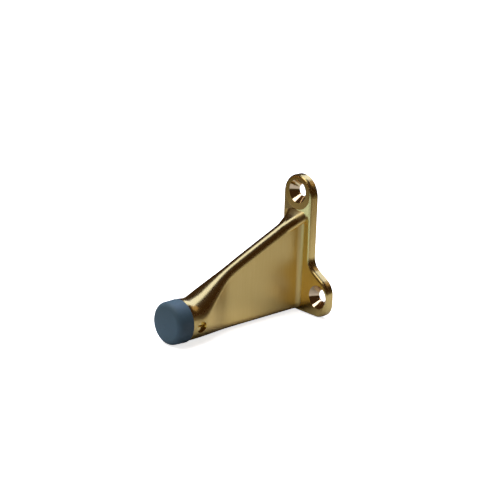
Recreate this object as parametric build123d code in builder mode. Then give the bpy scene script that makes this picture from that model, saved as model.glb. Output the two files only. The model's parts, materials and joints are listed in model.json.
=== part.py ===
"""Wall door stop: a cast brass bracket with a rubber bumper in its nose, held by a set screw.

Millimetres, +Z up. The wall is the plane y = 0, the arm reaches out along -Y and the bumper's axis is z = 0,
so the origin is where that axis meets the wall.
"""
import os
from math import cos, radians, sin, sqrt

from build123d import *

# Overall reach, from the wall to the front of the bumper
projection = 95.25

# Wall plate: a neck with a round head, on a foot that spreads over the two lower screws
plate_thickness = 4.8
neck_width = 22.2
head_centre_z = 55.3
foot_width = 52.4
foot_bottom_z = -9.4
shoulder_inner_z = 17.6
shoulder_outer_z = 9.2
shoulder_radius = 8.0
foot_radius = 8.8
plate_edge_radius = 1.9

# Countersunk screw holes, one in the head and a pair in the foot
screw_hole_diameter = 6.35
countersink_diameter = 12.9
countersink_angle = 82.0
upper_screw_z = 57.2
lower_screw_z = 2.3
lower_screw_spacing = 38.1

# Arm: a round nose that thins to an upright web, with a ridge that climbs to the plate
nose_diameter = 22.2
nose_drop = 0.2
web_thickness = 8.4
web_bottom_z = -9.0
taper_start = 6.0
taper_end = 33.0
ridge_plate_z = 46.0
ridge_bow = 1.2
ridge_bend = 8.2
ridge_bend_softness = 2.9
arm_root_depth = 2.6

# Flare where the arm runs out into the plate
flare_radius = 2.8
flare_angle = 84.0
flare_rise = 0.9

# Fan: near the plate the ridge spreads over the web and its top flattens
fan_length = 14.0
fan_half_width = 7.5
fan_edge_radius = 3.4
fan_rise = 0.9
fan_start_inset = 0.25

# How many steps shape the arm, its flare and its fan
arm_steps = 18
flare_steps = 7
fan_steps = 8

# Rubber bumper: a domed head on a stem
bumper_length = 10.35
bumper_rim_diameter = 23.5
bumper_front_diameter = 23.0
bumper_dome = 0.8
bumper_edge_radius = 3.0
bumper_rim_radius = 0.5
stem_diameter = 9.0
stem_length = 15.0
stem_chamfer = 0.8

# Set screw in the side of the nose, and the clearances of the fits
set_screw_diameter = 6.35
set_screw_setback = 5.9
set_screw_z = -1.8
set_screw_recess = 2.4
set_screw_chamfer = 0.6
driver_slot_width = 1.0
driver_slot_depth = 1.4
stem_clearance = 0.1
socket_end_clearance = 0.6
thread_clearance = 0.05
tip_clearance = 0.05

# Derived sizes
neck_half = neck_width / 2
foot_half = foot_width / 2
nose_radius = nose_diameter / 2
nose_bottom_z = -nose_radius - nose_drop
web_half = web_thickness / 2
nose_reach = projection - bumper_length
arm_length = nose_reach - plate_thickness
flare_length = flare_radius * sin(radians(flare_angle))
wall_plane = Plane.XZ
plate_front = wall_plane.offset(plate_thickness)
nose_front = wall_plane.offset(nose_reach)
set_screw_spot = (set_screw_setback - nose_reach, set_screw_z)


def smooth_step(share):
    """Rises from 0 to 1 with level ends."""
    share = min(max(share, 0.0), 1.0)
    return share * share * (3.0 - 2.0 * share)


def ridge_height(setback):
    """Top of the arm at a setback behind the nose: level, then a soft bend into a slightly bowed climb."""
    run = arm_length - ridge_bend
    past_bend = setback - ridge_bend
    climb = (past_bend + sqrt(past_bend**2 + ridge_bend_softness**2)) / 2
    share = min(max(past_bend / run, 0.0), 1.0)
    # This curve peaks at 4/27 a third of the way up, so the factor makes its peak the ridge's bow
    bow = ridge_bow * 27 / 4 * share * (1.0 - share) ** 2
    return nose_radius + climb * (ridge_plate_z - nose_radius) / run + bow


def arm_section(setback, flare_turn=0.0):
    """Reach from the wall, half width, top and bottom of the arm's slot-shaped section.

    The half width eases from the nose's radius to the web's, and in the flare it grows along an arc.
    """
    thinning = smooth_step((setback - taper_start) / (taper_end - taper_start))
    half_width = nose_radius + (web_half - nose_radius) * thinning
    half_width += flare_radius * (1.0 - cos(radians(flare_turn)))
    rise = flare_rise * (1.0 - cos(radians(flare_turn))) / (1.0 - cos(radians(flare_angle)))
    bottom = nose_bottom_z + (web_bottom_z - nose_bottom_z) * setback / arm_length
    return nose_reach - setback, half_width, ridge_height(setback) + rise, bottom


def arm_sections():
    """Sections of the nose and the web, evenly spaced up to the flare."""
    run = arm_length - flare_length
    return [arm_section(run * step / arm_steps) for step in range(arm_steps + 1)]


def flare_sections():
    """Sections of the flare, at even turns of its arc, up to the plate's front."""
    sections = []
    for step in range(flare_steps + 1):
        turn = flare_angle * step / flare_steps
        setback = arm_length - flare_length + flare_radius * sin(radians(turn))
        sections.append(arm_section(setback, turn))
    return sections


def fan_sections():
    """Reach, half width, edge radius and top of the fan, which starts just inside the ridge.

    Its edge is as round as the web at the start, and it spreads and rises with the square of its run.
    """
    start_half = web_half - fan_start_inset
    start_edge = start_half - fan_start_inset
    sections = []
    for step in range(fan_steps + 1):
        share = step / fan_steps
        setback = arm_length - fan_length * (1.0 - share)
        half_width = start_half + (fan_half_width - start_half) * share**2
        edge = start_edge + (fan_edge_radius - start_edge) * share
        top = ridge_height(setback) - fan_start_inset + (fan_rise + fan_start_inset) * share**2
        sections.append((nose_reach - setback, half_width, edge, top))
    return sections


# The bracket is one casting: plate, arm and nose together
with BuildPart() as bracket:
    with BuildSketch(wall_plane) as outline:
        with BuildLine():
            Polyline(
                (0, foot_bottom_z),
                (foot_half, foot_bottom_z),
                (foot_half, shoulder_outer_z),
                (neck_half, shoulder_inner_z),
                (neck_half, head_centre_z),
            )
            CenterArc((0, head_centre_z), neck_half, 0, 90)
            mirror(about=Plane.YZ)
        make_face()
        columns = outline.vertices().group_by(Axis.X)
        neck_corners = columns[1].sort_by(Axis.Y)[:1] + columns[-2].sort_by(Axis.Y)[:1]
        fillet(neck_corners, shoulder_radius)
        columns = outline.vertices().group_by(Axis.X)
        fillet(columns[0] + columns[-1], foot_radius)
    extrude(amount=plate_thickness)
    fillet(bracket.faces().sort_by(Axis.Y)[0].edges(), plate_edge_radius)

    # The arm, its flare and its fan are lofted through slot-shaped sections, and their roots run into the plate
    for sections in (arm_sections(), flare_sections()):
        for reach, half_width, top, bottom in sections:
            with BuildSketch(wall_plane.offset(reach)) as section:
                with Locations((0, (top + bottom) / 2)):
                    SlotOverall(top - bottom, 2 * half_width, rotation=90)
        loft()
    extrude(section.sketch, amount=-arm_root_depth)
    for reach, half_width, edge, top in fan_sections():
        with BuildSketch(wall_plane.offset(reach)) as section:
            with Locations((0, top - edge)):
                SlotOverall(2 * half_width, 2 * edge)
    loft()
    extrude(section.sketch, amount=-arm_root_depth)

    # Countersunk holes through the plate
    with Locations(plate_front):
        with Locations(
            (0, upper_screw_z),
            (-lower_screw_spacing / 2, lower_screw_z),
            (lower_screw_spacing / 2, lower_screw_z),
        ):
            CounterSinkHole(
                screw_hole_diameter / 2,
                countersink_diameter / 2,
                counter_sink_angle=countersink_angle,
            )

    # Blind socket for the bumper's stem, and the tapped hole that crosses into it
    with Locations(nose_front):
        Hole(stem_diameter / 2 + stem_clearance, depth=stem_length + socket_end_clearance)
    with BuildSketch(Plane.YZ):
        with Locations(set_screw_spot):
            Circle(set_screw_diameter / 2)
    extrude(amount=2 * nose_radius, mode=Mode.SUBTRACT)
bracket.part.label = "bracket"

# The bumper is turned about its own axis: stem, flat seat, tapered rim and domed front
with BuildPart() as bumper:
    with BuildSketch(Plane.XY) as profile:
        with BuildLine():
            Polyline(
                (0, -projection),
                (0, stem_length - nose_reach),
                (stem_diameter / 2, stem_length - nose_reach),
                (stem_diameter / 2, -nose_reach),
                (bumper_rim_diameter / 2, -nose_reach),
                (bumper_front_diameter / 2, bumper_dome - projection),
            )
            TangentArc(
                (0, -projection),
                (bumper_front_diameter / 2, bumper_dome - projection),
                tangent=(1, 0),
            )
        make_face()
        chamfer(profile.vertices().group_by(Axis.Y)[-1].sort_by(Axis.X)[-1], stem_chamfer)
        rim = profile.vertices().sort_by(Axis.X)[-1]
        fillet(rim, bumper_rim_radius)
        front = profile.vertices().filter_by(
            lambda corner: abs(corner.X - bumper_front_diameter / 2) < 1e-6
        )
        fillet(front, bumper_edge_radius)
    revolve(axis=Axis.Y)
bumper.part.label = "bumper"

# The set screw sits below the surface of the nose and its tip bears on the stem
tip_x = stem_diameter / 2 + tip_clearance
head_x = sqrt(nose_radius**2 - set_screw_z**2) - set_screw_recess
with BuildPart() as set_screw:
    with BuildSketch(Plane.YZ.offset(tip_x)):
        with Locations(set_screw_spot):
            Circle(set_screw_diameter / 2 - thread_clearance)
    extrude(amount=head_x - tip_x)
    chamfer(set_screw.faces().sort_by(Axis.X)[0].edges(), set_screw_chamfer)
    with BuildSketch(Plane.YZ.offset(head_x)):
        with Locations(set_screw_spot):
            Rectangle(2 * set_screw_diameter, driver_slot_width)
    extrude(amount=-driver_slot_depth, mode=Mode.SUBTRACT)
set_screw.part.label = "set_screw"

os.makedirs("parts", exist_ok=True)
export_step(bracket.part, "parts/bracket.step")
export_step(bumper.part, "parts/bumper.step")
export_step(set_screw.part, "parts/set_screw.step")
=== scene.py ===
"""Looks of the wall door stop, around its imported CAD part. Metres, +Z up, the wall at y = 0."""
import json
import math

import bpy
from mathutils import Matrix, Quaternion, Vector

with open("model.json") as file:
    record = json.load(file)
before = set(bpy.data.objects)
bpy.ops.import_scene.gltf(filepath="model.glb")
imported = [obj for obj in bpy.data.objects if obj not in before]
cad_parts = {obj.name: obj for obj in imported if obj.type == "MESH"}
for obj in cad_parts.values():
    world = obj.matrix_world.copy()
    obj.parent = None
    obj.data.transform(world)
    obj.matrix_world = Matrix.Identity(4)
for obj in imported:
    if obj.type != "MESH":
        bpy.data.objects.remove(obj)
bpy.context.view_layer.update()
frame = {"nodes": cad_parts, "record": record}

# Bracket: one brass casting, plate, arm and nose together, that three screws hold to the wall.
# Ground and brushed to a satin finish, with the countersinks left as bright as the drill cut them.
MM = 0.001


def linear(code):
    """Linear colour of an sRGB hex code, each channel through the sRGB curve, with alpha 1."""
    shares = [int(code[i:i + 2], 16) / 255 for i in (1, 3, 5)]
    return (*[s / 12.92 if s <= 0.04045 else ((s + 0.055) / 1.055) ** 2.4 for s in shares], 1.0)


def add_node(tree, kind, inputs=None, **settings):
    """Adds a node with its settings, and gives each input a value or a link.

    A link comes from an output, or from the first output of a node.
    """
    node = tree.nodes.new(kind)
    for name, value in settings.items():
        setattr(node, name, value)
    for key, value in (inputs or {}).items():
        source = value.outputs[0] if isinstance(value, bpy.types.Node) else value
        if isinstance(source, bpy.types.NodeSocket):
            tree.links.new(source, node.inputs[key])
        else:
            node.inputs[key].default_value = source
    return node


def new_material(name):
    """An empty node material, and its tree."""
    material = bpy.data.materials.new(name)
    material.use_nodes = True
    material.node_tree.nodes.clear()
    return material, material.node_tree


def dress(node, material):
    """Gives a CAD node one material in all its slots."""
    slots = frame["nodes"][node].data.materials
    slots.clear()
    slots.append(material)


brass_colour = "#ECD289"
brush_colour = "#E0C278"
cut_colour = "#F0D8B4"
satin_roughness = 0.18
flat_roughness = 0.32
root_roughness = 0.32
edge_roughness = 0.22
bright_roughness = 0.1
brush_roughness = 0.08
brush_width = 0.4 * MM
brush_length = 14 * MM
brush_depth = 0.003 * MM
wave_size = 11 * MM
wave_depth = 0.03 * MM

# The screw holes are where the record's mounts are; the plate's face is 4.8 mm from the wall
mounts = {mount["name"]: mount for mount in frame["record"]["mounts"]}
hole_wall_y = mounts["upper_screw"]["pos_m"][1]
upper_hole = (0.0, 0.0, mounts["upper_screw"]["pos_m"][2])
lower_hole_x = mounts["lower_screws"]["dims"]["spacing_x_mm"] * MM / 2
lower_hole = (lower_hole_x, 0.0, mounts["lower_screws"]["pos_m"][2])
countersink_radius = 6.45 * MM
before_face_y = -4.85 * MM
behind_face_y = -4.7 * MM
arm_root_y = (-10.0 * MM, -7.0 * MM)
side_facing = (0.8, 1.0)
front_facing = -0.95
top_facing = (0.5, 0.85)
pad_edge = (9.4 * MM, 10.4 * MM)
pad_roll = 0.47
roll_low_z = (43.0 * MM, 46.5 * MM)
fan_reach_y = (-20.0 * MM, -12.0 * MM)
fan_crown = 0.03 / MM

# Satin cast brass, ground by hand and brushed upright, mirrors its surroundings softly, in slight waves.
# The brush lines are drawn wider than real ones, which would be too fine to show.
brass, tree = new_material("satin_cast_brass")
place = add_node(tree, "ShaderNodeTexCoord").outputs["Object"]
brush_scale = (1 / brush_width, 1 / brush_width, 1 / brush_length)
brush_place = add_node(tree, "ShaderNodeVectorMath", {0: place, 1: brush_scale}, operation="MULTIPLY")
brush = add_node(tree, "ShaderNodeTexNoise", {"Vector": brush_place, "Scale": 1.0, "Detail": 2.0})
waves = add_node(tree, "ShaderNodeTexNoise", {"Vector": place, "Scale": 1 / wave_size, "Detail": 1.0})
xyz = add_node(tree, "ShaderNodeSeparateXYZ", {0: place}).outputs
normal = add_node(tree, "ShaderNodeNewGeometry").outputs["Normal"]
facing = add_node(tree, "ShaderNodeSeparateXYZ", {0: normal}).outputs

# Bright countersinks, both lower ones found as one by folding the plate at x = 0
side = add_node(tree, "ShaderNodeMath", {0: xyz["X"]}, operation="ABSOLUTE")
folded = add_node(tree, "ShaderNodeCombineXYZ", {"X": side, "Z": xyz["Z"]})
upper_way, lower_way = [
    add_node(tree, "ShaderNodeVectorMath", {0: folded, 1: hole}, operation="DISTANCE").outputs["Value"]
    for hole in (upper_hole, lower_hole)
]
hole_way = add_node(tree, "ShaderNodeMath", {0: upper_way, 1: lower_way}, operation="MINIMUM")
in_hole = add_node(tree, "ShaderNodeMath", {0: hole_way, 1: countersink_radius}, operation="LESS_THAN")
off_back = add_node(tree, "ShaderNodeMath", {0: xyz["Y"], 1: hole_wall_y}, operation="LESS_THAN")
bright = add_node(tree, "ShaderNodeMath", {0: in_hole, 1: off_back}, operation="MULTIPLY")

# The web's sides and the arm's root are duller than the ground face, and the plate's edges a little
sideways = add_node(tree, "ShaderNodeMath", {0: facing["X"]}, operation="ABSOLUTE")
roughness = add_node(
    tree,
    "ShaderNodeMapRange",
    {
        "Value": sideways,
        "From Min": side_facing[0],
        "From Max": side_facing[1],
        "To Min": satin_roughness,
        "To Max": flat_roughness,
    },
    interpolation_type="SMOOTHSTEP",
)
near_root = add_node(
    tree,
    "ShaderNodeMapRange",
    {"Value": xyz["Y"], "From Min": arm_root_y[0], "From Max": arm_root_y[1]},
    interpolation_type="SMOOTHSTEP",
)
off_face = add_node(tree, "ShaderNodeMath", {0: xyz["Y"], 1: before_face_y}, operation="LESS_THAN")
at_root = add_node(tree, "ShaderNodeMath", {0: near_root, 1: off_face}, operation="MULTIPLY")
on_edge = add_node(tree, "ShaderNodeMath", {0: xyz["Y"], 1: behind_face_y}, operation="GREATER_THAN")
roughness = add_node(tree, "ShaderNodeMix", {"Factor": at_root, "A": roughness, "B": root_roughness})
roughness = add_node(tree, "ShaderNodeMix", {"Factor": on_edge, "A": roughness, "B": edge_roughness})
streaks = {0: brush, 1: brush_roughness, 2: roughness}
roughness = add_node(tree, "ShaderNodeMath", streaks, operation="MULTIPLY_ADD")
roughness = add_node(tree, "ShaderNodeMix", {"Factor": bright, "A": roughness, "B": bright_roughness})

# The ground face rolls off to both sides below the upper screw's pad, and the ridge's end is crowned:
# their normals lean sideways
roll = add_node(
    tree,
    "ShaderNodeMapRange",
    {"Value": upper_way, "From Min": pad_edge[0], "From Max": pad_edge[1], "To Max": pad_roll},
)
above = add_node(
    tree,
    "ShaderNodeMapRange",
    {"Value": xyz["Z"], "From Min": roll_low_z[0], "From Max": roll_low_z[1]},
)
on_face = add_node(tree, "ShaderNodeMath", {0: facing["Y"], 1: front_facing}, operation="LESS_THAN")
way = add_node(tree, "ShaderNodeMath", {0: xyz["X"]}, operation="SIGN")
for factor in (above, on_face, way):
    roll = add_node(tree, "ShaderNodeMath", {0: roll, 1: factor}, operation="MULTIPLY")
crown = add_node(
    tree,
    "ShaderNodeMapRange",
    {"Value": xyz["Y"], "From Min": fan_reach_y[0], "From Max": fan_reach_y[1], "To Max": fan_crown},
)
on_top = add_node(
    tree,
    "ShaderNodeMapRange",
    {"Value": facing["Z"], "From Min": top_facing[0], "From Max": top_facing[1]},
)
for factor in (on_top, off_face):
    crown = add_node(tree, "ShaderNodeMath", {0: crown, 1: factor}, operation="MULTIPLY")
lean = add_node(tree, "ShaderNodeMath", {0: crown, 1: xyz["X"], 2: roll}, operation="MULTIPLY_ADD")
lean = add_node(tree, "ShaderNodeCombineXYZ", {"X": lean})
leaning = add_node(tree, "ShaderNodeVectorMath", {0: normal, 1: lean}, operation="ADD")
leaning = add_node(tree, "ShaderNodeVectorMath", {0: leaning}, operation="NORMALIZE")
relief = add_node(tree, "ShaderNodeBump", {"Height": waves, "Distance": wave_depth, "Normal": leaning})
relief = add_node(tree, "ShaderNodeBump", {"Height": brush, "Distance": brush_depth, "Normal": relief})

# A Mix node's colours are its inputs 6 and 7 and its output 2
brushed = {0: brush, 6: linear(brush_colour), 7: linear(brass_colour)}
tone = add_node(tree, "ShaderNodeMix", brushed, data_type="RGBA").outputs[2]
cut = {0: bright, 6: tone, 7: linear(cut_colour)}
tone = add_node(tree, "ShaderNodeMix", cut, data_type="RGBA").outputs[2]
finish = {"Base Color": tone, "Metallic": 1.0, "Roughness": roughness, "Normal": relief}
surface = add_node(tree, "ShaderNodeBsdfPrincipled", finish)
add_node(tree, "ShaderNodeOutputMaterial", {"Surface": surface})
dress("bracket", brass)

# Bumper: one moulded rubber piece, its stem pushed into the nose and held there by the set screw.
# Matte blue-grey rubber, whose fine moulded grain leaves only broad, soft highlights.
rubber_colour = "#405764"
rubber_roughness = 0.55
rubber_grain = 0.25 * MM
rubber_grain_depth = 0.004 * MM
rubber, tree = new_material("matte_grey_rubber")
place = add_node(tree, "ShaderNodeTexCoord").outputs["Object"]
grain = add_node(tree, "ShaderNodeTexNoise", {"Vector": place, "Scale": 1 / rubber_grain, "Detail": 2.0})
relief = add_node(tree, "ShaderNodeBump", {"Height": grain, "Distance": rubber_grain_depth})
finish = {"Base Color": linear(rubber_colour), "Roughness": rubber_roughness, "Normal": relief}
surface = add_node(tree, "ShaderNodeBsdfPrincipled", finish)
add_node(tree, "ShaderNodeOutputMaterial", {"Surface": surface})
dress("bumper", rubber)

# Set screw: a short slotted screw, sunk in the side of the nose, whose tip bears on the bumper's stem.
# Turned from brass and left bright, so it mirrors more sharply than the arm's sides.
screw_roughness = 0.22
screw_brass, tree = new_material("bright_turned_brass")
finish = {"Base Color": linear(brass_colour), "Metallic": 1.0, "Roughness": screw_roughness}
surface = add_node(tree, "ShaderNodeBsdfPrincipled", finish)
add_node(tree, "ShaderNodeOutputMaterial", {"Surface": surface})
dress("set_screw", screw_brass)

# Stage: a white table that the bumper and the foot both touch, so it slopes a little.
# As the brass mirrors it, the table is grey with painted light and shade: painted lighter at the back, a
# painted pool of light beside the arm, painted darker and warmer further out, and a painted pale cool band of
# light in front.
floor_half = 2.5
rest_front_y = -88.0 * MM
rest_front_z = -11.75 * MM
rest_back_y = -2.0 * MM
rest_back_z = -9.4 * MM
table_colour = "#F9F9F9"
glare = 0.76
painted_fade_way = (0.25, 0.97, 0.0)
painted_fade_reach = (-0.15, 0.05)
painted_fade_shades = (0.33, 0.5)
dark_surround_reach = (0.1, 0.28)
dark_surround_shade = 0.22
painted_warm_colour = "#FFDE8C"
# A painted pool of light on the table beside the arm
painted_pool_centre = (15.0 * MM, -40.0 * MM, 0.0)
painted_pool_half_x = 20.0 * MM
painted_pool_half_y = 38.0 * MM
painted_pool_gain = 2.2
# A painted pale cool band of light on the table in front, for the reflections only
painted_strip_x = 30.0 * MM
painted_strip_half = (0.04, 0.09)
painted_strip_start_y = (-0.07, -0.12)
painted_strip_colour = "#C4DFF5"

floor_slope = (rest_back_z - rest_front_z) / (rest_back_y - rest_front_y)
sides = (-floor_half, floor_half)
corners = [(x, y, rest_front_z + floor_slope * (y - rest_front_y)) for y in sides for x in sides]
floor_mesh = bpy.data.meshes.new("floor")
floor_mesh.from_pydata(corners, [], [(0, 1, 3, 2)])
floor = bpy.data.objects.new("floor", floor_mesh)
bpy.context.scene.collection.objects.link(floor)

# Painted light and shade on the table as the brass mirrors it: a painted gradient from front to back, a
# painted dark surround and a painted pool of light
white, tree = new_material("white_table_painted_light")
place = add_node(tree, "ShaderNodeTexCoord").outputs["Object"]
along = add_node(tree, "ShaderNodeVectorMath", {0: place, 1: painted_fade_way}, operation="DOT_PRODUCT")
painted_fade = add_node(
    tree,
    "ShaderNodeMapRange",
    {
        "Value": along.outputs["Value"],
        "From Min": painted_fade_reach[0],
        "From Max": painted_fade_reach[1],
        "To Min": painted_fade_shades[0],
        "To Max": painted_fade_shades[1],
    },
)
far = add_node(tree, "ShaderNodeVectorMath", {0: place}, operation="LENGTH").outputs["Value"]
painted_dark_surround = add_node(
    tree,
    "ShaderNodeMapRange",
    {"Value": far, "From Min": dark_surround_reach[0], "From Max": dark_surround_reach[1], "To Min": 1.0, "To Max": dark_surround_shade},
    interpolation_type="SMOOTHSTEP",
)
painted_pool_scale = (1 / painted_pool_half_x, 1 / painted_pool_half_y, 0.0)
painted_pool_place = add_node(tree, "ShaderNodeVectorMath", {0: place, 1: painted_pool_centre}, operation="SUBTRACT")
painted_pool_place = add_node(tree, "ShaderNodeVectorMath", {0: painted_pool_place, 1: painted_pool_scale}, operation="MULTIPLY")
painted_pool_way = add_node(tree, "ShaderNodeVectorMath", {0: painted_pool_place}, operation="LENGTH").outputs["Value"]
painted_light_pool = add_node(
    tree,
    "ShaderNodeMapRange",
    {"Value": painted_pool_way, "To Min": painted_pool_gain, "To Max": 1.0},
    interpolation_type="SMOOTHSTEP",
)
shade = painted_fade
for factor in (painted_dark_surround, painted_light_pool):
    shade = add_node(tree, "ShaderNodeMath", {0: shade, 1: factor}, operation="MULTIPLY")
# Painted warmth: the table's colour in the reflections grows warmer further out
painted_warm_hues = {0: painted_dark_surround, 6: linear(painted_warm_colour), 7: linear("#FFFFFF")}
painted_warm_hue = add_node(tree, "ShaderNodeMix", painted_warm_hues, data_type="RGBA").outputs[2]
shaded = {0: 1.0, 6: painted_warm_hue, 7: shade}
painted_mirror_colour = add_node(tree, "ShaderNodeMix", shaded, data_type="RGBA", blend_type="MULTIPLY").outputs[2]

# The painted band of light is only in the reflections, and only the camera sees the table white
xyz = add_node(tree, "ShaderNodeSeparateXYZ", {0: place}).outputs
aside = add_node(tree, "ShaderNodeMath", {0: xyz["X"], 1: painted_strip_x}, operation="SUBTRACT")
aside = add_node(tree, "ShaderNodeMath", {0: aside}, operation="ABSOLUTE")
painted_light_strip = add_node(
    tree,
    "ShaderNodeMapRange",
    {"Value": aside, "From Min": painted_strip_half[0], "From Max": painted_strip_half[1], "To Min": 1.0, "To Max": 0.0},
    interpolation_type="SMOOTHSTEP",
)
ahead = add_node(
    tree,
    "ShaderNodeMapRange",
    {"Value": xyz["Y"], "From Min": painted_strip_start_y[0], "From Max": painted_strip_start_y[1]},
    interpolation_type="SMOOTHSTEP",
)
ray = add_node(tree, "ShaderNodeLightPath").outputs
for factor in (ahead, ray["Is Glossy Ray"]):
    painted_light_strip = add_node(tree, "ShaderNodeMath", {0: painted_light_strip, 1: factor}, operation="MULTIPLY")
seen = {0: ray["Is Camera Ray"], 6: painted_mirror_colour, 7: linear(table_colour)}
colour = add_node(tree, "ShaderNodeMix", seen, data_type="RGBA").outputs[2]
painted_strip_inputs = {0: painted_light_strip, 6: colour, 7: linear(painted_strip_colour)}
colour = add_node(tree, "ShaderNodeMix", painted_strip_inputs, data_type="RGBA").outputs[2]
paper = add_node(tree, "ShaderNodeBsdfDiffuse", {"Color": colour})
lift = add_node(tree, "ShaderNodeMath", {0: ray["Is Camera Ray"], 1: glare}, operation="MULTIPLY")
glow = add_node(tree, "ShaderNodeEmission", {"Color": linear("#FFFFFF"), "Strength": lift})
surface = add_node(tree, "ShaderNodeAddShader", {0: paper, 1: glow})
add_node(tree, "ShaderNodeOutputMaterial", {"Surface": surface})
floor_mesh.materials.append(white)


# Lights: soft rectangular panels that the camera never sees. Four show in the brass: a long cool soft box
# overhead on the left, tilted to the front, a small warm one at the back, a dim wide one at the front left
# and one high up in front. The last two light the table and the rubber, and leave no reflection.
def panel(name, place, size, radiance, colour="#FFFFFF", aim=(0.0, 0.0, 0.0), reflects=True):
    """A light of an even radiance at a place, facing a point: its power is radiance x pi x area."""
    light = bpy.data.lights.new(name, "AREA")
    light.color = linear(colour)[:3]
    light.shape = "RECTANGLE"
    light.size, light.size_y = size
    light.energy = radiance * math.pi * size[0] * size[1]
    lamp = bpy.data.objects.new(name, light)
    lamp.location = place
    lamp.rotation_mode = "QUATERNION"
    lamp.rotation_quaternion = (Vector(aim) - Vector(place)).to_track_quat("-Z", "Y")
    lamp.visible_camera = False
    lamp.visible_glossy = reflects
    bpy.context.scene.collection.objects.link(lamp)


soft_box_aim = (-0.26, -0.205, 0.0)
panel("soft_box", (-0.245, 0.23, 0.694), size=(0.49, 1.24), radiance=2.05, colour="#C0CFFF", aim=soft_box_aim)
panel("back_light", (0.2, 0.64, 0.61), size=(0.4, 0.4), radiance=0.42, colour="#FFE0BC")
panel("left_light", (-0.57, -0.82, 0.38), size=(1.6, 0.8), radiance=0.13, colour="#FFD2A0")
panel("high_light", (-0.165, -0.508, 0.962), size=(0.6, 0.36), radiance=2.2)
panel("table_light", (-0.45, 0.0, 1.15), size=(1.8, 1.8), radiance=2.3, reflects=False)
panel("front_light", (-0.35, -0.75, 0.45), size=(1.0, 1.0), radiance=0.9, reflects=False)

# Room: dark and warm where the brass mirrors it, as an unlit studio,
# and white where the camera sees past the table.
room_colour = "#FFBC7C"
room_glow = 0.04
world = bpy.data.worlds.new("dark_room")
world.use_nodes = True
tree = world.node_tree
tree.nodes.clear()
ray = add_node(tree, "ShaderNodeLightPath").outputs
room = add_node(tree, "ShaderNodeBackground", {"Color": linear(room_colour), "Strength": room_glow})
backdrop = add_node(tree, "ShaderNodeBackground", {"Color": linear("#FFFFFF"), "Strength": 1.0})
surround = add_node(tree, "ShaderNodeMixShader", {0: ray["Is Camera Ray"], 1: room, 2: backdrop})
add_node(tree, "ShaderNodeOutputWorld", {"Surface": surround})
bpy.context.scene.world = world

# Camera: a long lens from the front right and a little above, rolled very slightly.
# It was fitted to the plate, nose and bumper in the photograph.
camera_place = Vector((880.7 * MM, -834.7 * MM, 408.3 * MM))
camera_aim = Vector((-0.1 * MM, -37.5 * MM, 30.1 * MM))
camera_roll = math.radians(2.16)
camera_data = bpy.data.cameras.new("camera")
camera_data.sensor_width = 36.0
camera_data.lens = 168.6
camera = bpy.data.objects.new("camera", camera_data)
camera.location = camera_place
camera.rotation_mode = "QUATERNION"
look = (camera_aim - camera_place).to_track_quat("-Z", "Y")
camera.rotation_quaternion = look @ Quaternion((0.0, 0.0, 1.0), camera_roll)
bpy.context.scene.collection.objects.link(camera)
bpy.context.scene.camera = camera
bpy.context.scene.view_settings.view_transform = "Standard"
